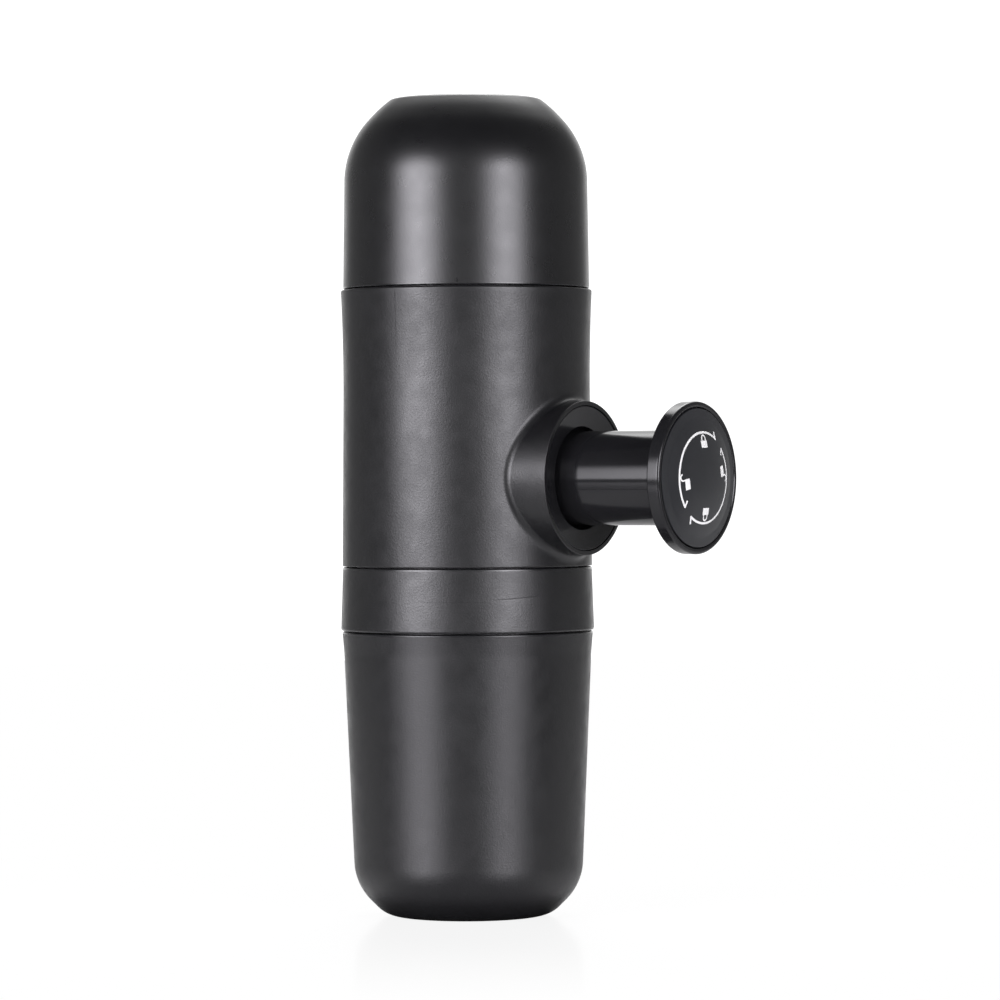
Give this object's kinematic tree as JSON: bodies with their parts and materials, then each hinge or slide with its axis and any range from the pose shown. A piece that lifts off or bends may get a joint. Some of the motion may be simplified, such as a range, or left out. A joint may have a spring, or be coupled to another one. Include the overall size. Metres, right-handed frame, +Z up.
{
  "type": "handheld manual espresso maker",
  "caption": "Handheld manual espresso maker: stacked cup, outlet head, pump housing and water tank, with a spring-returned side plunger that twists to lock.",
  "frame": {"origin": "centre of the cup's flat base", "axes": "+Z up through the cup, outlet head, housing and tank; +X along the pump's axis, towards the knob"},
  "size_m": [0.1052, 0.0654, 0.2111],
  "materials": {
    "shell_abs": "fine-textured moulded ABS, charcoal black",
    "gloss_abs": "polished moulded ABS, black",
    "inner_plastic": "moulded polypropylene, dark grey",
    "natural_plastic": "moulded natural PBT, off-white",
    "silicone": "moulded silicone, grey",
    "steel": "stainless steel, brushed"
  },
  "bodies": {
    "cup": {"espresso_cup": "shell_abs"},
    "outlet": {"outlet_head": "shell_abs", "cup_seal": "silicone", "nozzle": "shell_abs", "crema_plate": "natural_plastic"},
    "basket": {"filter_basket": "steel", "basket_screen": "steel"},
    "group_seal": {"group_gasket": "silicone"},
    "main_body": {"housing": "shell_abs", "collar": "gloss_abs", "group_head": "inner_plastic", "shower_screen": "steel", "shower_screw": "steel", "pump_block": "natural_plastic", "pump_cylinder": "natural_plastic", "cylinder_cap": "inner_plastic", "bayonet_sleeve": "inner_plastic", "port_seals": "silicone", "inlet_valve_seat": "inner_plastic", "inlet_valve_spring": "steel", "outlet_valve_spring": "steel", "return_spring": "steel", "top_plate": "inner_plastic", "inlet_strainer": "natural_plastic", "vent_valve": "silicone", "frame_screws": "steel"},
    "tank_seal": {"tank_gasket": "silicone"},
    "tank": {"water_tank": "shell_abs"},
    "plunger_rod": {"piston_rod": "steel", "piston_seal": "silicone", "spring_washer": "steel", "knob_screw": "steel"},
    "plunger_knob": {"knob": "gloss_abs", "knob_cap": "gloss_abs"},
    "inlet_valve": {"inlet_poppet": "silicone"},
    "outlet_valve": {"outlet_poppet": "silicone"}
  },
  "joints": [
    {"name": "cup_pull", "type": "slide", "parent": "cup", "child": "outlet", "axis": [0, 0, 1], "range_m": [0, 0.04]},
    {"name": "basket_lift", "type": "slide", "parent": "outlet", "child": "basket", "axis": [0, 0, 1], "range_m": [0, 0.016]},
    {"name": "body_rise", "type": "slide", "parent": "basket", "child": "group_seal", "axis": [0, 0, 1], "range_m": [0, 0.012]},
    {"name": "body_unscrew", "type": "hinge", "parent": "group_seal", "child": "main_body", "pos_m": [0, 0, 0.09], "axis": [0, 0, 1], "range_deg": [0, 360]},
    {"name": "tank_rise", "type": "slide", "parent": "main_body", "child": "tank_seal", "axis": [0, 0, 1], "range_m": [0, 0.012]},
    {"name": "tank_unscrew", "type": "hinge", "parent": "tank_seal", "child": "tank", "pos_m": [0, 0, 0.1619], "axis": [0, 0, 1], "range_deg": [0, 360]},
    {"name": "plunger_stroke", "type": "slide", "parent": "main_body", "child": "plunger_rod", "axis": [1, 0, 0], "range_m": [-0.029, 0], "stiffness_N_per_m": 250, "springref_m": 0.02, "deforming": ["return_spring"]},
    {"name": "knob_lock", "type": "hinge", "parent": "plunger_rod", "child": "plunger_knob", "pos_m": [0.06, 0, 0.113], "axis": [1, 0, 0], "range_deg": [-40, 0]},
    {"name": "inlet_valve_lift", "type": "slide", "parent": "main_body", "child": "inlet_valve", "axis": [0, 0, 1], "range_m": [-0.0012, 0], "stiffness_N_per_m": 150, "springref_m": 0.001, "deforming": ["inlet_valve_spring"]},
    {"name": "outlet_valve_lift", "type": "slide", "parent": "main_body", "child": "outlet_valve", "axis": [0, 0, 1], "range_m": [-0.0012, 0], "stiffness_N_per_m": 150, "springref_m": 0.001, "deforming": ["outlet_valve_spring"]}
  ],
  "couplings": [
    {"joint": "body_rise", "follows": "body_unscrew", "m_per_rad": 0.0019099},
    {"joint": "tank_rise", "follows": "tank_unscrew", "m_per_rad": 0.0019099}
  ]
}
